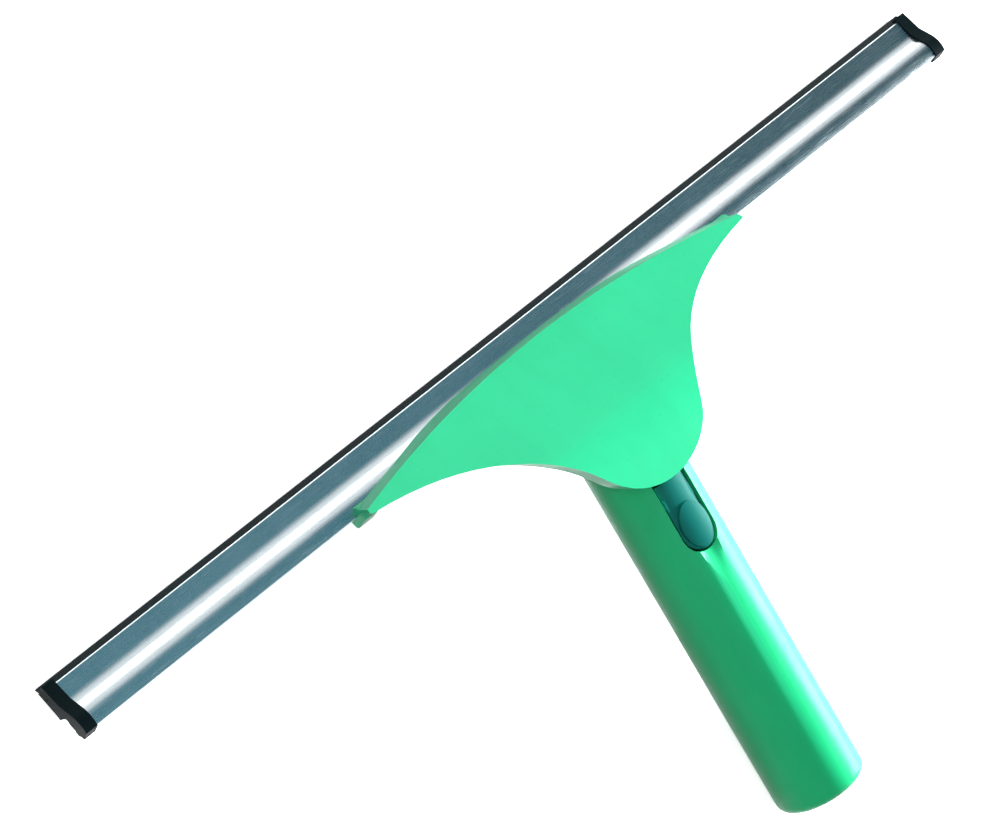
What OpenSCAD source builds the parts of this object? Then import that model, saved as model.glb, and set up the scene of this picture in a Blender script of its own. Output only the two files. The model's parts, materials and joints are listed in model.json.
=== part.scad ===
// Window cleaning squeegee: rail with rubber lip, fan-shaped head and hollow handle.
// Drawn lying on a table on its lip edge and the rim of its handle. X runs along the
// rail, Y from the handle to the lip, +Z up to the side that faces the user.

/* [Rail] */
// Length of the metal rail between the end caps
rail_length = 391; // [300:1:440]
// Thickness of the rail's flat strip
strip_t = 5.4; // [5:0.1:6.5]
// Depth of the rail down to the foot of its hollow box
rail_depth = 20.6; // [19:0.1:24]
// Wall of the rail
rail_wall = 1.1; // [0.8:0.1:1.5]

/* [Rubber lip] */
// Thickness of the rubber web in the rail's slot
lip_web = 1.8; // [1.4:0.1:2.2]
// How far the rubber stands out of the rail
lip_reach = 2.6; // [2:0.1:4]
// Thickness of the rubber at its wiping edge
lip_edge = 1.5; // [1:0.1:1.8]
// Depth of the bead that the rail holds
bead_depth = 3.7; // [3:0.1:4.2]

/* [End caps] */
// Thickness of a cap's outer wall
cap_face = 4.5; // [3:0.1:7]
// How far a cap stands proud of the rail's section
cap_lip = 0.6; // [0.3:0.1:1]
// Length of the plug that sits in the rail's hollow
cap_plug = 12; // [8:1:18]

/* [Head] */
// Width of the head from tip to tip
head_width = 174; // [150:1:210]
// Distance from the handle's visible top to the lip edge
head_reach = 60; // [56:1:66]
// How far the lip edge lies below the handle's axis
head_drop = 29.9; // [26:0.1:34]
// Thickness of the front plate
plate_t = 2.6; // [2:0.1:3.2]
// Depth of the skirt round the front plate
skirt_depth = 7.6; // [6:0.1:9]
// Height of the front plate above the handle's surface
plate_step = 3.7; // [3:0.1:5]
// Clearance between the front plate's underside and the rail's crest
crest_gap = 2.5; // [2.4:0.1:4]
// Angle between the rail's strip and the handle's axis
blade_bend = 23.5; // [20:0.5:27]
// Width of one jaw tab
tab_width = 6; // [5:0.5:9]

/* [Handle] */
// Length of the handle from its rim to the front plate
handle_length = 123; // [110:1:160]
// Diameter of the handle
handle_d = 32; // [30:0.5:34]
// Radius of the handle's rim
rim_r = 3; // [1.5:0.5:3]

/* [Pole socket] */
// Diameter of the pole that the socket takes
pole_d = 20; // [18:0.5:21]
// Play between the pole and the socket
pole_play = 0.4; // [0.2:0.1:0.8]
// Wall of the socket sleeve
sleeve_wall = 1.4; // [1:0.1:1.8]
// Length of the socket sleeve
sleeve_length = 88; // [70:1:92]

/* [Release button] */
// Width of the button's recess
recess_w = 14; // [12:0.5:15]
// Distance from the front plate to the round end of the recess
recess_length = 28; // [26:1:32]
// Gap between the button and its recess
button_gap = 0.9; // [0.4:0.1:1.2]
// Angle that the button rocks through
button_travel = 7; // [4:0.5:7]
// Diameter of the button's pin
pin_d = 2; // [1.6:0.1:2.2]
// Radial play between the button and its pin
pin_play = 0.05; // [0.03:0.01:0.08]

/* [Screws] */
// Diameter of the screws' shanks
screw_d = 2.9; // [2.5:0.1:3.5]
// Diameter of the screws' heads
screw_head_d = 5.6; // [5:0.1:6]
// Distance of each clamp screw from the middle
clamp_x = 29; // [24:1:32]
// Distance of each neck screw from the middle
neck_x = 8; // [7:0.5:9]

/* [Hidden] */

$fn = 64;
eps = 0.01;
far = 300;

green = [0.24, 0.87, 0.62];
dark_green = [0.06, 0.62, 0.40];
teal = [0.0, 0.42, 0.39];
black = [0.06, 0.08, 0.09];
metal = [0.72, 0.80, 0.82];
steel = [0.65, 0.66, 0.68];

// Where the lip edge lies, from the middle of the handle's end
lip_y = handle_length + head_reach;
lip_z = -head_drop;
handle_r = handle_d / 2;

// The part rests on its lip edge and on the handle's rim
rest_dy = lip_y - rim_r;
rest_dz = handle_r - rim_r + lip_z;
rest_tilt = -atan(rest_dz / rest_dy) - asin(rim_r / norm([rest_dy, rest_dz]));
rest_lift = -(lip_y * sin(rest_tilt) + lip_z * cos(rest_tilt));

// Rail section: x is towards the lip edge, y is towards the user
strip_back = 0.2;
strip_front = strip_back + strip_t;
slot_mid = (strip_back + strip_front) / 2;
slot_play = 0.1;
bead_play = 0.2;
bead_t = 3;
slot_half = lip_web / 2 + slot_play;
bead_top = lip_reach + 2.3;
channel_top = bead_top - bead_play;
channel_floor = bead_top + bead_depth + bead_play;
channel_half = bead_t / 2 + bead_play;
box_back = slot_mid + 1;
bump_hollow_r = 6.5;
bump_r = 6.5;
bump_turn = 45;
bump_back = 30;
strip_chamfer = 0.35;
box_start = 11.2;
bump_start = rail_depth - (bump_hollow_r + bump_r) * sin(bump_turn) - bump_r * sin(bump_back);
foot_z = box_back + 0.9;
crest_top = bump_centre()[1] + bump_r;

// Corner of the caps, which reaches furthest forward, and the origin midway to the rim
cap_start = 1.2;
cap_corner = to_handle([-cap_start, strip_front + 0.2]);
rest_front = cap_corner[0] * cos(rest_tilt) - cap_corner[1] * sin(rest_tilt);
rest_rear = rim_r * cos(rest_tilt) - (handle_r - rim_r) * sin(rest_tilt) - rim_r;
rest_back = (rest_front + rest_rear) / 2;

// Front plate: a flat start, an arc and a slope
plate_z = handle_r + plate_step;
plate_arc_r = 35;
plate_flat = 5;
plate_y0 = handle_length;
arc_y = plate_y0 + plate_flat;
// The slope is the line that touches the arc and clears the crest of the rail's bump
crest = to_handle(bump_centre());
crest_dy = crest[0] - arc_y;
crest_dz = crest[1] - (plate_z - plate_arc_r);
crest_clear = bump_r + plate_t + crest_gap;
plate_angle = asin((plate_arc_r - crest_clear) / norm([crest_dy, crest_dz])) - atan2(crest_dz, crest_dy);
slope_y = arc_y + plate_arc_r * sin(plate_angle);
slope_z = plate_z - plate_arc_r * (1 - cos(plate_angle));
head_gap = 5;
rear_t = 2.2;
skirt_t = 2;
fit_gap = 0.3;
boss_d = 6.4;
rib_places = [-62, -40, -14, 14, 40, 62];
rib_t = 2.4;
rib_depth = 8.4;
lobe_r = 26;
lobe_cut = 61;
tip_slope = 5;
crown_r = 460;
top_y = lip_y - 5.2;
tip_x = head_width / 2 - 0.5;
tip_drop = tip_x * tip_x / (2 * crown_r);

// Socket and recess
socket_r = (pole_d + pole_play) / 2;
sleeve_r = socket_r + sleeve_wall;
sleeve_start = 1;
bore_end = handle_length + 7.5;
bore_wall = 2.5;
recess_y = handle_length - recess_length;
// The sleeve stops short of the recess
sleeve_margin = 6;
sleeve_end = min(sleeve_start + sleeve_length, recess_y - sleeve_margin);
recess_r = recess_w / 2;
scoop_depth = 1.6;
scoop_length = 16;
scoop_r = 9;
button_r = recess_r - button_gap;
pivot_y = recess_y + 19.5;
pivot_z = handle_r - 3.8;
pin_r = pin_d / 2;
pin_top = pivot_z + pin_r;
pin_length = 2 * sqrt(handle_r * handle_r - pin_top * pin_top) - 1.2;
hub_half = button_r - 0.2;
hub_depth = 4.8;
hub_h = 3.2;
tooth_h = 4;
pad_end = plate_y0 - 1.2;
pad_half = 8.2;
pad_edge = 0.5;
pad_rise = 1.1;
pad_under = handle_r - 3.7;
pad_shell = 2.6;
arm_end = bore_end - 0.6;
arm_half = 3.2;
// The arm has room to rise under the front plate
arm_top = min(handle_r - 1.8, plate_z - plate_t - 1 - (arm_end - pivot_y) * sin(button_travel));
arm_under = socket_r + 0.6;
tooth_y = arm_end - 3.4;
tooth_z = socket_r - 1.7;
spring_y = arm_end - 2.2;
spring_wire = 0.5;
spring_r = 1.9;
spring_low = arm_top;
spring_high = plate_z - plate_t;

// Screws
neck_y = arc_y + 10;
neck_angle = asin((neck_y - arc_y) / plate_arc_r);
clamp_s = 6;
neck_seat = head_gap + 0.3;
head_h = 1.8;
cross_length = 3.2;
cross_w = 0.7;
cross_depth = 0.9;

function arc(c, r, a, b, n) = [
    for (i = [0 : n]) c + r * [cos(a + (b - a) * i / n), sin(a + (b - a) * i / n)]
];
function turn(p, a) = [p[0] * cos(a) - p[1] * sin(a), p[0] * sin(a) + p[1] * cos(a)];
function to_handle(p) = [
    lip_y + p[0] * cos(blade_bend) + p[1] * sin(blade_bend),
    lip_z - p[0] * sin(blade_bend) + p[1] * cos(blade_bend)
];
function flip(list) = [for (i = [len(list) - 1 : -1 : 0]) list[i]];
function mix3(p, t) = let (u = 1 - t)
    u * u * u * p[0] + 3 * u * u * t * p[1] + 3 * u * t * t * p[2] + t * t * t * p[3];

// Frames: the whole part at rest, along the rail, the rail's section, the plate's slope
module at_rest() translate([0, -rest_back, rest_lift]) rotate([rest_tilt, 0, 0]) children();
module along_x(length) rotate([90, 0, 90]) linear_extrude(length, center = true) children();
module along_y() rotate([-90, 0, 0]) children();
module at_blade() translate([0, lip_y, lip_z]) rotate([-blade_bend, 0, 0]) children();
module at_neck() translate([0, neck_y, plate_z - plate_arc_r * (1 - cos(neck_angle))])
    rotate([-neck_angle, 0, 0]) children();
module at_slope() translate([0, slope_y, slope_z]) rotate([-plate_angle, 0, 0]) children();

// ---- Rail, rubber and end caps ----

// Centre of the convex bump on the rail's front, which follows on a hollow of the same slope
function bump_centre() = [-bump_start, strip_front + bump_hollow_r]
    - (bump_hollow_r + bump_r) * [sin(bump_turn), cos(bump_turn)];
function bump_points() = concat(
    arc([-bump_start, strip_front + bump_hollow_r], bump_hollow_r, 270, 270 - bump_turn, 6),
    arc(bump_centre(), bump_r, 90 - bump_turn, 90 + bump_back, 12)
);

function rail_outline() = concat(
    [[-lip_reach, strip_front - strip_chamfer], [-lip_reach - strip_chamfer, strip_front]],
    bump_points(),
    [
        [-rail_depth, foot_z], [-rail_depth + 0.7, box_back], [-box_start - 2, box_back],
        [-box_start - 1.4, box_back - 0.7], [-box_start - 0.6, box_back - 1.7],
        [-box_start - 0.6, strip_back], [-lip_reach - 0.5, strip_back], [-lip_reach, strip_back + 0.7]
    ]
);

module channel() {
    polygon([
        [-lip_reach + 1, slot_mid - slot_half], [-channel_top, slot_mid - slot_half],
        [-channel_top, slot_mid - channel_half], [-channel_floor, slot_mid - channel_half],
        [-channel_floor, slot_mid + channel_half], [-channel_top, slot_mid + channel_half],
        [-channel_top, slot_mid + slot_half], [-lip_reach + 1, slot_mid + slot_half]
    ]);
}

hollow_y = [-bump_centre()[0] - bump_r / 2, rail_depth - rail_wall - 0.3];
hollow_z = [box_back + rail_wall, box_back + rail_wall + 2.6];

module hollow(shrink) {
    polygon([
        [-hollow_y[0] - shrink, hollow_z[0] + shrink], [-hollow_y[0] - shrink, hollow_z[1] - 0.6],
        [-hollow_y[0] - 0.8, hollow_z[1] - shrink], [-hollow_y[1] + 0.8, hollow_z[1] - shrink],
        [-hollow_y[1] + shrink, hollow_z[1] - 0.6], [-hollow_y[1] + shrink, hollow_z[0] + shrink]
    ]);
}

module rail() {
    color(metal) at_rest() at_blade() along_x(rail_length) difference() {
        polygon(rail_outline());
        channel();
        hollow(0);
    }
}

module lip_section() {
    polygon([
        [0, 0], [0, lip_edge], [-lip_reach, slot_mid + lip_web / 2],
        [-bead_top, slot_mid + lip_web / 2], [-bead_top, slot_mid - lip_web / 2],
        [-lip_reach, slot_mid - lip_web / 2]
    ]);
}

module bead_section() {
    translate([-bead_top - bead_depth, slot_mid - bead_t / 2]) square([bead_depth, bead_t]);
}

module rubber_lip() {
    color(black) at_rest() at_blade() {
        along_x(rail_length + 2 * cap_face) lip_section();
        along_x(rail_length - 0.4) bead_section();
    }
}

// Cap outline: fuller than the rail, with a scallop on each side of its round foot
function cap_outline() = let (o = cap_lip) concat(
    [[-cap_start, strip_back], [-cap_start, strip_front + 0.2], [-bump_start - 1, strip_front + o + 0.5]],
    arc(bump_centre(), bump_r + o, 60, 90 + bump_back, 8),
    [[-rail_depth - o, foot_z + 0.6]],
    arc([-rail_depth + 0.2, foot_z - 0.9], 1, 60, 150, 4),
    arc([-rail_depth + 2, box_back + 0.3], 1.3, 190, 330, 6),
    arc([-box_start - 2.6, box_back - 1], 1.2, 150, 20, 6),
    [[-box_start - 0.4, strip_back - 0.4], [-box_start + 0.8, strip_back - 0.1]]
);

module end_cap(side) {
    color(black) at_rest() at_blade() difference() {
        union() {
            translate([side * (rail_length + cap_face) / 2, 0, 0]) along_x(cap_face) polygon(cap_outline());
            translate([side * (rail_length - cap_plug) / 2, 0, 0]) along_x(cap_plug + 1) hollow(0.15);
        }
        translate([side * (rail_length / 2 + cap_face), 0, 0]) along_x(2 * cap_face + 4)
            polygon([
                [2, -2], [2, lip_edge + 0.5], [-lip_reach, slot_mid + slot_half + 0.1],
                [-bead_top - 0.2, slot_mid + slot_half + 0.1], [-bead_top - 0.2, slot_mid - slot_half - 0.1],
                [-lip_reach, slot_mid - slot_half - 0.1], [-1, -0.3]
            ]);
    }
}

module end_cap_left() end_cap(-1);
module end_cap_right() end_cap(1);

// ---- Head ----

// Line that lies a depth d under the plate's front, from its flat start to distance s down the slope
function plate_line(d, start, s) = let (
    r = plate_arc_r - d,
    c = [arc_y, plate_z - plate_arc_r],
    e = [slope_y, slope_z] - d * [sin(plate_angle), cos(plate_angle)],
    turned = start < arc_y ? 0 : asin((start - arc_y) / r)
) concat(
    start < arc_y ? [[start, plate_z - d]] : [],
    arc(c, r, 90 - turned, 90 - plate_angle, 10),
    [e + s * [cos(plate_angle), -sin(plate_angle)]]
);

module plate_band(d0, d1, start, s) {
    along_x(far) polygon(concat(plate_line(d0, start, s), flip(plate_line(d1, start, s))));
}

// Half of the fan outline seen from above, drawn a distance inside its edge: round lobe and curved flank
function fan_flank(inset, last) = let (
    c = [0, plate_y0 + lobe_r],
    p0 = c + (lobe_r - inset) * [sin(lobe_cut), -cos(lobe_cut)],
    p3 = [tip_x, top_y - tip_drop - 1.6] + inset * [-sin(tip_slope), cos(tip_slope)],
    p1 = p0 + 17 * [cos(lobe_cut), sin(lobe_cut)],
    p2 = p3 - 38 * [cos(tip_slope), sin(tip_slope)]
) concat(
    arc(c, lobe_r - inset, -90, -90 + lobe_cut, 14),
    [for (i = [1 : last]) mix3([p0, p1, p2, p3], i / 16)]
);
// Gently crowned top edge, from its outer end to the middle
function fan_top(inset, x_end) = [
    for (i = [0 : 10]) let (x = x_end * (1 - i / 10)) [x, top_y - inset - x * x / (2 * crown_r)]
];
function both_sides(half) = concat(half, [for (p = flip(half)) if (p[0] > eps) [-p[0], p[1]]]);

module fan() {
    tip = [tip_x + 0.4, top_y - tip_drop - 1.2];
    polygon(both_sides(concat(fan_flank(0, 16), [tip], fan_top(0, tip_x))));
}

// Inside of the skirt: the tips stay solid
module fan_inside(inset) {
    flank = fan_flank(inset, 14);
    polygon(both_sides(concat(flank, fan_top(inset, flank[len(flank) - 1][0]))));
}

module column() {
    translate([0, 0, -60]) linear_extrude(120) children();
}

slope_end = (top_y - slope_y) / cos(plate_angle) + 4;

// Everything that the rail fills, so that what holds it is cut to its section
module rail_space() {
    at_blade() along_x(far) polygon(concat(
        [[-lip_reach + 3, strip_front], [-lip_reach - 0.5, strip_front]],
        bump_points(),
        [[-rail_depth, foot_z], [-rail_depth + 0.7, box_back], [-box_start - 2, box_back],
         [-box_start, strip_back], [-lip_reach + 3, strip_back]]
    ));
}

module jaw_tab(side) {
    translate([side * (tip_x - tab_width / 2), 0, 0]) at_blade() along_x(tab_width) polygon(concat(
        [[-box_start - 5, box_back + 3], [-rail_depth + 2.2, crest_top + 1.4]],
        arc([-rail_depth + 0.4, crest_top - 0.8], 3, 90, 180, 6),
        arc([-rail_depth - 0.6, box_back + 0.2], 2, 180, 262, 6),
        [[-box_start - 5.5, box_back - 1.8], [-box_start - 4.8, box_back - 0.4], [-box_start - 4.8, box_back + 1]]
    ));
}

module front_plate() {
    color(green) at_rest() difference() {
        union() {
            intersection() {
                plate_band(0, plate_t, plate_y0 - 5, slope_end);
                column() fan();
            }
            intersection() {
                plate_band(plate_t / 2, skirt_depth, plate_y0 - 5, slope_end);
                column() difference() {
                    fan();
                    fan_inside(skirt_t);
                }
            }
            // Ribs that press on the rail's crest
            intersection() {
                for (x = rib_places)
                    translate([x - rib_t / 2, 0, 0]) at_blade()
                        translate([0, -rail_depth + 0.6, crest_top - 3]) cube([rib_t, rib_depth, 20]);
                plate_band(plate_t / 2, skirt_depth + 3, plate_y0, slope_end);
                column() fan_inside(skirt_t / 2);
            }
            for (side = [-1, 1]) {
                jaw_tab(side);
                at_slope() translate([side * clamp_x, clamp_s, -head_gap])
                    cylinder(d = boss_d, h = head_gap - 1);
            }
        }
        rail_space();
        along_y() cylinder(r = handle_r + fit_gap, h = bore_end + 2);
        // Notch that lets the button's arm rise
        translate([-arm_half - 0.6, plate_y0 - 6, 0])
            cube([2 * arm_half + 1.2, bore_end + 6 - plate_y0, spring_high - 0.4]);
        for (side = [-1, 1])
            at_slope() translate([side * clamp_x, clamp_s, -head_gap - 1])
                cylinder(d = screw_d, h = head_gap - 1);
    }
}

rear_y0 = handle_length + 9;

// Distance down the slope at which the line a depth d under the plate reaches x in the rail's section
function reach(d, x) = let (
    e = [slope_y, slope_z] - d * [sin(plate_angle), cos(plate_angle)] - [lip_y, lip_z]
) (x - e[0] * cos(blade_bend) + e[1] * sin(blade_bend)) / cos(plate_angle - blade_bend);

// Rear plate: follows the front plate, then hooks round the foot and the back of the rail
module rear_profile() {
    jaw = [
        [-rail_depth, foot_z + 4.4], [-rail_depth, foot_z], [-rail_depth + 0.7, box_back],
        [-box_start - 2.6, box_back], [-box_start - 3.2, box_back - 2.2],
        [-rail_depth - 0.6, box_back - 2.2], [-rail_depth - 2.4, box_back - 0.6]
    ];
    polygon(concat(
        plate_line(head_gap, rear_y0, reach(head_gap, -rail_depth - 1.2)),
        [for (p = jaw) to_handle(p)],
        flip(plate_line(head_gap + rear_t, rear_y0, reach(head_gap + rear_t, -rail_depth - 3.4)))
    ));
}

module rear_outline() {
    flank = [for (p = fan_flank(skirt_t + fit_gap, 14)) if (p[1] < lip_y - rail_depth - 2) p];
    polygon(both_sides(concat(flank, [[flank[len(flank) - 1][0], lip_y], [0, lip_y]])));
}

module rear_plate() {
    color(dark_green) at_rest() difference() {
        intersection() {
            along_x(far) rear_profile();
            column() rear_outline();
        }
        for (side = [-1, 1]) {
            at_neck() translate([side * neck_x, 0, -20]) cylinder(d = screw_d + 0.4, h = 40);
            at_neck() translate([side * neck_x, 0, -neck_seat]) cylinder(d = screw_head_d + 0.6, h = 5);
            at_slope() translate([side * clamp_x, clamp_s, -20]) cylinder(d = screw_d + 0.4, h = 40);
        }
    }
}

module screw(length) {
    cylinder(d = screw_head_d, h = head_h);
    translate([0, 0, -length]) cylinder(d = screw_d, h = length + eps);
}

module clamp_screw(side) {
    color(steel) at_rest() at_slope() translate([side * clamp_x, clamp_s, -head_gap - rear_t])
        mirror([0, 0, 1]) screw_cut() screw(rear_t + 3);
}

// Cross recess in a screw's head
module screw_cut() {
    difference() {
        children();
        for (a = [0, 90]) rotate(a) translate([-cross_length / 2, -cross_w / 2, head_h - cross_depth])
            cube([cross_length, cross_w, head_h]);
    }
}

module clamp_screw_left() clamp_screw(-1);
module clamp_screw_right() clamp_screw(1);

module neck_screw(side) {
    color(steel) at_rest() at_neck() translate([side * neck_x, 0, -neck_seat])
        screw_cut() screw(11);
}

module neck_screw_left() neck_screw(-1);
module neck_screw_right() neck_screw(1);

// ---- Handle, socket and release button ----

handle_top = handle_length + 40;
neck_floor = handle_length + 18;

// Back of the neck: a slanted end that closes the tube
module neck_limit(cut) {
    along_x(far) polygon([
        [-5, 60], [far, 60], [far, -8 + cut], [neck_floor + 21 - cut, -8 + cut],
        [neck_floor - cut, -handle_r - 1], [neck_floor - cut, -handle_r - 9], [-5, -handle_r - 9]
    ]);
}

module recess(width, y_end, height) {
    r = width / 2;
    translate([0, recess_y + recess_r, 0]) {
        cylinder(r = r, h = height);
        translate([-r, 0, 0]) cube([width, y_end - recess_y - recess_r, height]);
    }
}

module handle() {
    color(dark_green) at_rest() difference() {
        intersection() {
            along_y() rotate_extrude() polygon(concat(
                [[0, 0], [handle_r - rim_r, 0]],
                arc([handle_r - rim_r, rim_r], rim_r, -90, 0, 8),
                [[handle_r, handle_top], [0, handle_top]]
            ));
            neck_limit(0);
        }
        // Front plate and rear plate take the place of the tube's top
        difference() {
            translate([-50, plate_y0 + 3, -40]) cube([100, 100, 100]);
            along_x(far) polygon(concat(
                plate_line(head_gap + rear_t, plate_y0 - 5, 60), [[slope_y + 50, -90], [plate_y0 - 5, -90]]
            ));
        }
        along_y() {
            translate([0, 0, -1]) cylinder(r = sleeve_r, h = sleeve_end + 1);
            cylinder(r = socket_r + 0.3, h = bore_end);
        }
        // Hollow neck behind the bore's end wall, clear of the screw bosses
        intersection() {
            along_y() translate([0, 0, bore_end + bore_wall]) cylinder(r = handle_r - 3, h = 40);
            neck_limit(4);
            difference() {
                translate([-50, 0, -50]) cube([100, 200, 100]);
                at_neck() for (side = [-1, 1]) translate([side * neck_x, 0, -50]) cylinder(d = 7, h = 100);
            }
        }
        recess(recess_w, bore_end, 40);
        // Thumb scoop: deepest at the recess, it runs out on the handle's surface
        translate([0, recess_y + 1, handle_r - scoop_depth])
            rotate([90 - atan(scoop_depth / scoop_length), 0, 0])
                translate([0, scoop_r, 0]) cylinder(r = scoop_r, h = scoop_length + 3);
        translate([-pin_length / 2, pivot_y, pivot_z]) rotate([0, 90, 0])
            cylinder(r = pin_r, h = pin_length);
        at_neck() for (side = [-1, 1])
            translate([side * neck_x, 0, -neck_seat - 12]) cylinder(d = screw_d, h = 30);
    }
}

module pole_sleeve() {
    color(dark_green) at_rest() along_y() translate([0, 0, sleeve_start]) difference() {
        cylinder(r = sleeve_r, h = sleeve_end - sleeve_start);
        translate([0, 0, -1]) cylinder(r = socket_r, h = sleeve_end - sleeve_start + 2);
    }
}

// Body crowned like the handle's surface, with an oval thumb pad that stands proud of it
module button_top() {
    difference() {
        union() {
            intersection() {
                recess(2 * button_r, pad_end, 40);
                along_y() cylinder(r = handle_r - pad_rise, h = pad_end);
                translate([-20, 0, pad_under]) cube([40, far, 20]);
            }
            intersection() {
                translate([0, recess_y + button_gap + pad_edge + pad_half, pad_under + 0.9]) linear_extrude(20)
                    scale([1, pad_half / (button_r - pad_edge)]) circle(r = button_r - pad_edge);
                along_y() cylinder(r = handle_r, h = pad_end);
            }
        }
        along_y() cylinder(r = handle_r - pad_shell, h = far);
    }
}

module release_button() {
    color(teal) at_rest() difference() {
        union() {
            button_top();
            // Hub round the pin and the arm behind it
            translate([-hub_half, pivot_y - hub_depth / 2, arm_under]) cube([2 * hub_half, hub_depth, hub_h]);
            translate([-arm_half, pivot_y, arm_under])
                cube([2 * arm_half, arm_end - pivot_y, arm_top - arm_under]);
            translate([-arm_half, tooth_y, tooth_z]) cube([2 * arm_half, arm_end - tooth_y, tooth_h]);
        }
        translate([-20, pivot_y, pivot_z]) rotate([0, 90, 0]) cylinder(r = pin_r + pin_play, h = 40);
    }
}

module button_pin() {
    color(steel) at_rest() translate([-pin_length / 2, pivot_y, pivot_z]) rotate([0, 90, 0])
        cylinder(r = pin_r, h = pin_length);
}

// Coil spring between the button's arm and the front plate
spring_turns = 2.5;
spring_sides = 8;
spring_rings = 40;
spring_rise = spring_high - spring_low - spring_wire;

function spring_ring(i) = let (
    a = 360 * spring_turns * i / spring_rings,
    z = spring_low + spring_wire / 2 + spring_rise * i / spring_rings
) [for (k = [0 : spring_sides - 1]) let (
    b = 360 * k / spring_sides,
    r = spring_r - spring_wire / 2 + spring_wire / 2 * cos(b)
) [r * cos(a), spring_y + r * sin(a), z + spring_wire / 2 * sin(b)]];

module button_spring() {
    points = [for (i = [0 : spring_rings]) each spring_ring(i)];
    n = spring_sides;
    sides = [for (i = [0 : spring_rings - 1], k = [0 : n - 1]) [
        i * n + k, (i + 1) * n + k, (i + 1) * n + (k + 1) % n, i * n + (k + 1) % n
    ]];
    ends = [[for (k = [0 : n - 1]) k], [for (k = [n - 1 : -1 : 0]) spring_rings * n + k]];
    color(steel) at_rest() polyhedron(points, concat(sides, ends));
}

rail();
rubber_lip();
end_cap_left();
end_cap_right();
front_plate();
rear_plate();
clamp_screw_left();
clamp_screw_right();
handle();
pole_sleeve();
neck_screw_left();
neck_screw_right();
release_button();
button_pin();
button_spring();
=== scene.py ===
import json
import math
import bpy
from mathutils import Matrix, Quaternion, Vector

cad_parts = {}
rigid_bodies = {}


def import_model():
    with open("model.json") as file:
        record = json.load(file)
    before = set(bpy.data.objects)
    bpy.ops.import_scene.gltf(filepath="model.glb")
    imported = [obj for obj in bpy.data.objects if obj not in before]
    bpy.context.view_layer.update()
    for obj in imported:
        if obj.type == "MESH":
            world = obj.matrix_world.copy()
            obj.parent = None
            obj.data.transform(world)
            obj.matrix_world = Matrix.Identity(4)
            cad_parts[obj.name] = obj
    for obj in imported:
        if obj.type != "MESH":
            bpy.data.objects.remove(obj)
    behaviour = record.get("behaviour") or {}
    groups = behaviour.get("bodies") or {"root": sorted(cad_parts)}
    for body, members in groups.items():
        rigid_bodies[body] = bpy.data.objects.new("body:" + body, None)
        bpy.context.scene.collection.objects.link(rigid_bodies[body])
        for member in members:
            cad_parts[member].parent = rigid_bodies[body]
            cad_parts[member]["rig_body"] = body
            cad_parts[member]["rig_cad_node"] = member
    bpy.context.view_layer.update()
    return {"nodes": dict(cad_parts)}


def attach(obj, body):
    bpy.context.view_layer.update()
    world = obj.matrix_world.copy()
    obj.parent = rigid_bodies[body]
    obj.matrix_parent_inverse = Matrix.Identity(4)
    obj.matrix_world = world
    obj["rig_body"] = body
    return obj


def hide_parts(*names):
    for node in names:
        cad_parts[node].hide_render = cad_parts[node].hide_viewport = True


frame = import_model()
print("frame loaded:", len(frame["nodes"]), "nodes")

mm = 0.001

# how a copy is cleaned and shaded: points closer than gap merge, faces within flat degrees join,
# and a turn of fullWear radians counts as a fully worn edge
cleaning = {"gap": 0.01 * mm, "flat": 1.0, "normalWeight": 60, "fullWear": 0.5}


def deselectAll():
    if bpy.context.object and bpy.context.object.mode != "OBJECT":
        bpy.ops.object.mode_set(mode="OBJECT")
    bpy.ops.object.select_all(action="DESELECT")


def makeActive(piece):
    deselectAll()
    piece.select_set(True)
    bpy.context.view_layer.objects.active = piece


def applyModifier(piece, kind, **settings):
    makeActive(piece)
    modifier = piece.modifiers.new(kind.lower(), kind)
    for name, value in settings.items():
        setattr(modifier, name, value)
    bpy.ops.object.modifier_apply(modifier=modifier.name)


def mergedCopy(node, name):
    # the copy is merged and its flat areas become single faces, so that its edges can be rounded
    source = frame["nodes"][node]
    piece = source.copy()
    piece.data = source.data.copy()
    piece.name = name
    piece.data.name = name
    piece.parent = None
    bpy.context.scene.collection.objects.link(piece)
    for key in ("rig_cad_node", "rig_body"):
        if key in piece:
            del piece[key]
    makeActive(piece)
    bpy.ops.mesh.customdata_custom_splitnormals_clear()
    bpy.ops.object.mode_set(mode="EDIT")
    bpy.ops.mesh.select_all(action="SELECT")
    bpy.ops.mesh.remove_doubles(threshold=cleaning["gap"])
    bpy.ops.mesh.dissolve_limited(angle_limit=math.radians(cleaning["flat"]))
    bpy.ops.object.mode_set(mode="OBJECT")
    return piece


def markEdges(piece):
    # how sharply the surface turns at each point, for worn and polished edges
    mesh = piece.data
    turn = [0.0] * len(mesh.vertices)
    facesOfEdge = {}
    for face in mesh.polygons:
        for key in face.edge_keys:
            facesOfEdge.setdefault(key, []).append(face.normal.copy())
    for (a, b), normals in facesOfEdge.items():
        if len(normals) == 2:
            angle = normals[0].angle(normals[1], 0.0)
            turn[a] = max(turn[a], angle)
            turn[b] = max(turn[b], angle)
    worn = mesh.attributes.get("edge") or mesh.attributes.new("edge", "FLOAT", "POINT")
    worn.data.foreach_set("value", [min(1.0, value / cleaning["fullWear"]) for value in turn])


def roundedPiece(node, name, body, settings):
    piece = mergedCopy(node, name)
    applyModifier(piece, "BEVEL", width=settings["edge"], segments=settings["steps"],
                  limit_method="ANGLE", angle_limit=math.radians(settings["sharp"]),
                  use_clamp_overlap=True, miter_outer="MITER_ARC")
    makeActive(piece)
    bpy.ops.object.shade_smooth_by_angle(angle=math.radians(settings["smooth"]))
    applyModifier(piece, "WEIGHTED_NORMAL", keep_sharp=True, weight=cleaning["normalWeight"])
    markEdges(piece)
    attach(piece, body)
    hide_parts(node)
    return piece


def dress(piece, material):
    piece.data.materials.clear()
    piece.data.materials.append(material)


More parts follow.
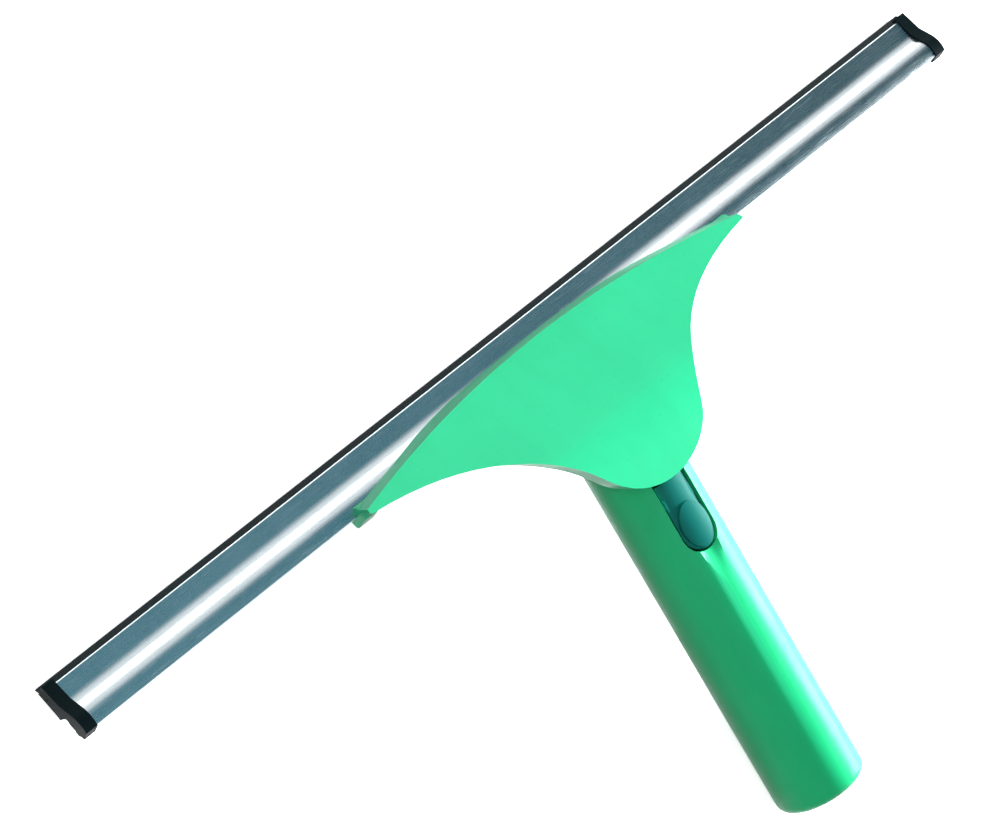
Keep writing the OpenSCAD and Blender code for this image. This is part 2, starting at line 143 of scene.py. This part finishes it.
def dressNode(node, material):
    for holder in frame["nodes"][node].material_slots:
        holder.link = "OBJECT"
        holder.material = material


class Wire:
    # one socket of a material, with the usual arithmetic
    def __init__(self, finish, socket):
        self.finish = finish
        self.socket = socket

    def combine(self, operation, first, second):
        return self.finish.node("ShaderNodeMath", {"operation": operation}, {0: first, 1: second})

    def __add__(self, other):
        return self.combine("ADD", self, other)

    __radd__ = __add__

    def __sub__(self, other):
        return self.combine("SUBTRACT", self, other)

    def __mul__(self, other):
        return self.combine("MULTIPLY", self, other)


class Finish:
    # a material, or the world: its shader and the nodes that feed it
    def __init__(self, holder, shader="Principled BSDF", **constants):
        holder.use_nodes = True
        self.material = holder
        self.tree = holder.node_tree
        self.shader = self.tree.nodes[shader]
        for socket, value in constants.items():
            self.shader.inputs[socket.replace("_", " ")].default_value = value

    def node(self, kind, settings, values, output=0):
        made = self.tree.nodes.new(kind)
        for name, value in settings.items():
            if name == "stops":
                for stop, (place, colour) in zip(made.color_ramp.elements, value):
                    stop.position = place
                    stop.color = colour
            else:
                setattr(made, name, value)
        for key, value in values.items():
            if isinstance(value, Wire):
                self.tree.links.new(value.socket, made.inputs[key])
            else:
                made.inputs[key].default_value = value
        return Wire(self, made.outputs[output])

    def feed(self, socket, wire):
        self.tree.links.new(wire.socket, self.shader.inputs[socket])

    def place(self, stretch=(1, 1, 1)):
        spot = self.node("ShaderNodeTexCoord", {}, {}, "Object")
        return self.node("ShaderNodeMapping", {}, {"Vector": spot, "Scale": stretch})

    def noise(self, where, scale, detail=3.0, roughness=0.55):
        values = {"Vector": where, "Scale": scale, "Detail": detail, "Roughness": roughness}
        return self.node("ShaderNodeTexNoise", {}, values, "Fac")

    def between(self, wire, low, high):
        # 0 below low, 1 above high, smooth between them
        settings = {"interpolation_type": "SMOOTHSTEP"}
        values = {"Value": wire, "From Min": low, "From Max": high}
        return self.node("ShaderNodeMapRange", settings, values)

    def blend(self, factor, first, second):
        return self.node("ShaderNodeMix", {"data_type": "RGBA"}, {0: factor, 6: first, 7: second}, 2)

    def bump(self, height, distance, strength):
        values = {"Height": height, "Distance": distance, "Strength": strength}
        return self.node("ShaderNodeBump", {}, values)

    def edge(self):
        return self.node("ShaderNodeAttribute", {"attribute_name": "edge"}, {}, "Fac")


def tinted(colour, share):
    # the colour made lighter or darker, as a Principled base colour
    return tuple(min(1.0, channel * share) for channel in colour) + (1.0,)


# noise scales are per metre, tints multiply the base colour, and the rest are shares
plasticGrain = {"cloud": 28.0, "flow": 22.0, "flowStretch": (6, 1.2, 2.5), "speck": 950.0, "smudge": 75.0,
                "swell": 210.0, "deepTint": 0.955, "paleTint": 1.035, "speckTint": 0.62, "speckShare": 0.25,
                "coatRoughness": 0.12, "smudgeRough": 0.09, "grainRough": 0.05, "edgePolish": 0.06,
                "bump": 0.55}


def mouldedPlastic(name, look):
    grainOf = plasticGrain
    finish = Finish(bpy.data.materials.new(name), Specular_IOR_Level=look["sheen"],
                    Coat_Weight=look["coat"], Coat_Roughness=grainOf["coatRoughness"])
    where = finish.place()
    cloud = finish.noise(where, grainOf["cloud"], 3.0)
    # faint streaks from the mould's flow
    flow = finish.noise(finish.place(grainOf["flowStretch"]), grainOf["flow"], 4.0)
    grain = finish.noise(where, look["grainScale"], 2.0)
    speck = finish.between(finish.noise(where, grainOf["speck"], 1.0), 0.70, 0.76)
    base = finish.blend(finish.between(cloud * 0.6 + flow * 0.4, 0.36, 0.66),
                        tinted(look["colour"], grainOf["deepTint"]),
                        tinted(look["colour"], grainOf["paleTint"]))
    base = finish.blend(speck * grainOf["speckShare"], base, tinted(look["colour"], grainOf["speckTint"]))
    base = finish.blend(finish.edge() * look["edgeWear"], base, tinted(look["edgeColour"], 1.0))
    finish.feed("Base Color", base)
    smudge = finish.between(finish.noise(where, grainOf["smudge"], 4.0, 0.6), 0.42, 0.72)
    finish.feed("Roughness", look["roughness"] + smudge * grainOf["smudgeRough"]
                + grain * grainOf["grainRough"] - finish.edge() * grainOf["edgePolish"])
    height = grain * 0.8 + finish.noise(where, grainOf["swell"], 2.0) * 0.5
    finish.feed("Normal", finish.bump(height, look["grainDepth"], grainOf["bump"]))
    return finish.material


metalGrain = {"lines": 9.0, "lineStretch": (1.2, 260, 260), "fine": 7.0, "fineStretch": (4, 900, 900),
              "cloud": 35.0, "scratch": 5.0, "scratchStretch": (14, 520, 520), "deepTint": 0.90,
              "paleTint": 1.06, "scratchShare": 0.3, "edgeShare": 0.35, "fineRough": 0.10,
              "scratchRough": 0.12, "cloudRough": 0.05, "depth": 0.02 * mm, "bump": 0.6}


def drawnAluminium(name, look):
    grainOf = metalGrain
    finish = Finish(bpy.data.materials.new(name), Metallic=1.0)
    along = finish.place(grainOf["lineStretch"])  # drawing lines run along the rail
    lines = finish.noise(along, grainOf["lines"], 4.0, 0.7)
    fine = finish.noise(finish.place(grainOf["fineStretch"]), grainOf["fine"], 3.0, 0.7)
    where = finish.place()
    cloud = finish.noise(where, grainOf["cloud"], 3.0)
    marks = finish.noise(finish.place(grainOf["scratchStretch"]), grainOf["scratch"], 1.0)
    scratch = finish.between(marks, 0.70, 0.73)
    base = finish.blend(finish.between(lines * 0.5 + cloud * 0.5, 0.3, 0.7),
                        tinted(look["colour"], grainOf["deepTint"]),
                        tinted(look["colour"], grainOf["paleTint"]))
    base = finish.blend(scratch * grainOf["scratchShare"], base, tinted(look["scratch"], 1.0))
    base = finish.blend(finish.edge() * grainOf["edgeShare"], base, tinted(look["scratch"], 1.0))
    finish.feed("Base Color", base)
    finish.feed("Roughness", look["roughness"] + fine * grainOf["fineRough"]
                + scratch * grainOf["scratchRough"] + cloud * grainOf["cloudRough"])
    height = lines * 0.5 + fine * 0.5 - scratch * 0.6
    finish.feed("Normal", finish.bump(height, grainOf["depth"], grainOf["bump"]))
    return finish.material


rubberGrain = {"sheen": 0.08, "cloud": 60.0, "grind": 4.0, "grindStretch": (60, 900, 900), "dust": 1400.0,
               "pores": 2600.0, "deepTint": 0.85, "paleTint": 1.25, "dustShare": 0.22, "cloudRough": 0.14,
               "depth": 0.03 * mm, "bump": 0.6}


def bladeRubber(name, look):
    grainOf = rubberGrain
    finish = Finish(bpy.data.materials.new(name), Specular_IOR_Level=grainOf["sheen"])
    where = finish.place()
    cloud = finish.noise(where, grainOf["cloud"], 4.0)
    # ground edge, lines across the blade
    grind = finish.noise(finish.place(grainOf["grindStretch"]), grainOf["grind"], 3.0)
    dust = finish.between(finish.noise(where, grainOf["dust"], 2.0), 0.68, 0.78)
    base = finish.blend(finish.between(cloud, 0.35, 0.7), tinted(look["colour"], grainOf["deepTint"]),
                        tinted(look["colour"], grainOf["paleTint"]))
    base = finish.blend(dust * grainOf["dustShare"], base, tinted(look["dust"], 1.0))
    finish.feed("Base Color", base)
    finish.feed("Roughness", look["roughness"] + cloud * grainOf["cloudRough"])
    height = grind * 0.6 + finish.noise(where, grainOf["pores"], 2.0) * 0.4
    finish.feed("Normal", finish.bump(height, grainOf["depth"], grainOf["bump"]))
    return finish.material


steelGrain = {"cloud": 320.0, "rub": 900.0, "deepTint": 0.82, "paleTint": 1.08, "rubShare": 0.3,
              "rubRough": 0.16, "depth": 0.02 * mm, "bump": 0.5}


def turnedSteel(name, look):
    grainOf = steelGrain
    finish = Finish(bpy.data.materials.new(name), Metallic=1.0)
    where = finish.place()
    cloud = finish.noise(where, grainOf["cloud"], 3.0)
    rub = finish.between(finish.noise(where, grainOf["rub"], 4.0, 0.7), 0.45, 0.7)
    base = finish.blend(cloud, tinted(look["colour"], grainOf["deepTint"]),
                        tinted(look["colour"], grainOf["paleTint"]))
    finish.feed("Base Color", finish.blend(rub * grainOf["rubShare"], base, tinted(look["shade"], 1.0)))
    finish.feed("Roughness", look["roughness"] + rub * grainOf["rubRough"])
    finish.feed("Normal", finish.bump(cloud + rub * 0.4, grainOf["depth"], grainOf["bump"]))
    return finish.material


green = {"colour": (0.025, 0.600, 0.270), "edgeColour": (0.10, 0.86, 0.52), "edgeWear": 0.25,
         "roughness": 0.34, "sheen": 0.26, "coat": 0.03, "grainScale": 3200.0, "grainDepth": 0.018 * mm}
handleGreen = dict(green, colour=(0.008, 0.590, 0.215), roughness=0.36)
deepGreen = dict(green, colour=(0.010, 0.300, 0.170), edgeColour=(0.03, 0.42, 0.26), roughness=0.42,
                 coat=0.0)
thumbTeal = dict(green, colour=(0.002, 0.150, 0.128), edgeColour=(0.01, 0.30, 0.27), roughness=0.44,
                 coat=0.0, sheen=0.14)
capBlack = dict(green, colour=(0.0012, 0.0045, 0.0055), edgeColour=(0.006, 0.018, 0.022), roughness=0.48,
                coat=0.0, sheen=0.07, grainDepth=0.03 * mm)
aluminium = {"colour": (0.62, 0.72, 0.76), "scratch": (0.86, 0.90, 0.92), "roughness": 0.20}
black = {"colour": (0.006, 0.013, 0.015), "dust": (0.10, 0.13, 0.14), "roughness": 0.50}
zinc = {"colour": (0.60, 0.61, 0.63), "shade": (0.34, 0.33, 0.31), "roughness": 0.26}

platePlastic = mouldedPlastic("mint head plastic", green)
handlePlastic = mouldedPlastic("green handle plastic", handleGreen)
framePlastic = mouldedPlastic("deep green plastic", deepGreen)
buttonPlastic = mouldedPlastic("teal button plastic", thumbTeal)
capPlastic = mouldedPlastic("black cap plastic", capBlack)
railMetal = drawnAluminium("drawn aluminium", aluminium)
lipRubber = bladeRubber("blade rubber", black)
screwSteel = turnedSteel("zinc plated steel", zinc)
print("finishes made:", len(bpy.data.materials))


headSettings = {"edge": 0.85 * mm, "steps": 4, "sharp": 40, "smooth": 42}
rearSettings = {"edge": 0.45 * mm, "steps": 3, "sharp": 40, "smooth": 42}
handleSettings = {"edge": 0.55 * mm, "steps": 4, "sharp": 38, "smooth": 40}
buttonSettings = {"edge": 0.70 * mm, "steps": 4, "sharp": 38, "smooth": 40}
capSettings = {"edge": 0.40 * mm, "steps": 3, "sharp": 40, "smooth": 42}
railSettings = {"edge": 0.14 * mm, "steps": 2, "sharp": 35, "smooth": 38}
sleeveSettings = {"edge": 0.35 * mm, "steps": 3, "sharp": 40, "smooth": 42}

head = roundedPiece("front_plate", "head_shell", "root", headSettings)
dress(head, platePlastic)
rear = roundedPiece("rear_plate", "rear_clamp", "root", rearSettings)
dress(rear, framePlastic)
grip = roundedPiece("handle", "socket_handle", "root", handleSettings)
dress(grip, handlePlastic)
sleeve = roundedPiece("pole_sleeve", "socket_liner", "root", sleeveSettings)
dress(sleeve, framePlastic)
thumb = roundedPiece("release_button", "thumb_button", "button", buttonSettings)
dress(thumb, buttonPlastic)
for side, body in (("left", "cap_left"), ("right", "cap_right")):
    cap = roundedPiece("end_cap_" + side, "rail_cap_" + side, body, capSettings)
    dress(cap, capPlastic)
rail = roundedPiece("rail", "lip_rail", "root", railSettings)
dress(rail, railMetal)
print("rounded pieces made")

dressNode("rubber_lip", lipRubber)
for node in ("clamp_screw_left", "clamp_screw_right", "neck_screw_left", "neck_screw_right",
             "button_pin", "button_spring"):
    dressNode(node, screwSteel)
print("carried-over nodes dressed")


stageSettings = {"size": 14.0, "colour": (0.93, 0.95, 0.95, 1.0), "glow": 0.70, "roughness": 0.85,
                 "sheen": 0.1, "mottle": 3.0, "paleTint": 1.02}
deselectAll()
bpy.ops.mesh.primitive_plane_add(size=stageSettings["size"], location=(0, 0, 0))
floor = bpy.context.object
floor.name = "floor"
paper = Finish(bpy.data.materials.new("pale floor"), Roughness=stageSettings["roughness"],
               Specular_IOR_Level=stageSettings["sheen"], Emission_Color=(1, 1, 1, 1),
               Emission_Strength=stageSettings["glow"])
mottle = paper.noise(paper.place(), stageSettings["mottle"], 2.0)
palePatch = tinted(stageSettings["colour"][:3], stageSettings["paleTint"])
paper.feed("Base Color", paper.blend(mottle, stageSettings["colour"], palePatch))
dress(floor, paper.material)
floor.visible_diffuse = False  # its light would wash out the shaded sides

# the sky is white near the ground and blue-grey overhead, darker to the right
skySettings = {"strength": 0.95, "ground": (1.0, 1.0, 1.0, 1.0), "zenith": (0.105, 0.27, 0.33, 1.0),
               "dark": (0.002, 0.030, 0.045, 1.0), "highBand": (0.40, 0.76), "asideBand": (0.47, 0.565),
               "lowBand": (0.28, 0.56)}
bpy.context.scene.world = bpy.data.worlds.new("studio")
sky = Finish(bpy.context.scene.world, "Background", Strength=skySettings["strength"])
direction = sky.node("ShaderNodeTexCoord", {}, {}, "Generated")
rise = sky.node("ShaderNodeSeparateXYZ", {}, {"Vector": direction}, "Z")
aside = sky.node("ShaderNodeSeparateXYZ", {}, {"Vector": direction}, "X")
high = sky.between(rise, *skySettings["highBand"])
toRight = sky.between(aside, *skySettings["asideBand"]) * sky.between(rise, *skySettings["lowBand"])
shade = sky.blend(high, skySettings["ground"], skySettings["zenith"])
shade = sky.blend(toRight, shade, skySettings["dark"])
sky.feed("Color", shade)
bpy.context.scene.world.cycles_visibility.diffuse = False  # it is there to be mirrored in the metal


def softLamp(name, toward, distance, size, power, inGloss=False, inDiffuse=True):
    deselectAll()
    direction = Vector(toward).normalized()
    bpy.ops.object.light_add(type="AREA", location=direction * distance)
    lamp = bpy.context.object
    lamp.name = name
    lamp.data.shape = "DISK"
    lamp.data.size = size
    lamp.data.energy = power
    lamp.rotation_euler = direction.to_track_quat("Z", "Y").to_euler()
    lamp.visible_glossy = inGloss
    lamp.visible_diffuse = inDiffuse


# the shine is seen only in reflections, and the other lamps only light the surfaces
lampSettings = {
    "key": {"toward": (0.951, -0.03, 0.309), "distance": 2.0, "size": 0.5, "power": 142.0},
    "shine": {"toward": (0.93, -0.28, 0.25), "distance": 2.0, "size": 1.2, "power": 60.0,
              "inGloss": True, "inDiffuse": False},
    "fill": {"toward": (-0.45, 0.15, 0.88), "distance": 2.4, "size": 2.2, "power": 30.0},
    "front fill": {"toward": (0.1, 0.9, 0.45), "distance": 2.4, "size": 1.8, "power": 15.0},
    "back fill": {"toward": (-0.3, -0.9, 0.3), "distance": 2.4, "size": 1.8, "power": 6.0},
}
for name, settings in lampSettings.items():
    softLamp(name, **settings)

shot = {"azimuth": -68.57, "elevation": 59.50, "roll": 75.83, "distance": 1.2,
        "aim": (-0.0074, 0.0654, -0.0181), "lens": 132.0, "sensor": 36.0, "reach": 30.0}
azimuth, elevation = math.radians(shot["azimuth"]), math.radians(shot["elevation"])
level = math.cos(elevation)
back = Vector((level * math.sin(azimuth), level * math.cos(azimuth), math.sin(elevation)))
deselectAll()
bpy.ops.object.camera_add(location=Vector(shot["aim"]) + back * shot["distance"])
camera = bpy.context.object
camera.name = "camera"
turned = back.to_track_quat("Z", "Y") @ Quaternion((0, 0, 1), math.radians(shot["roll"]))
camera.rotation_mode = "QUATERNION"
camera.rotation_quaternion = turned
camera.data.sensor_width = shot["sensor"]
camera.data.lens = shot["lens"]
camera.data.clip_end = shot["reach"]
bpy.context.scene.camera = camera
bpy.context.scene.view_settings.view_transform = "Standard"
print("floor, light and camera made")
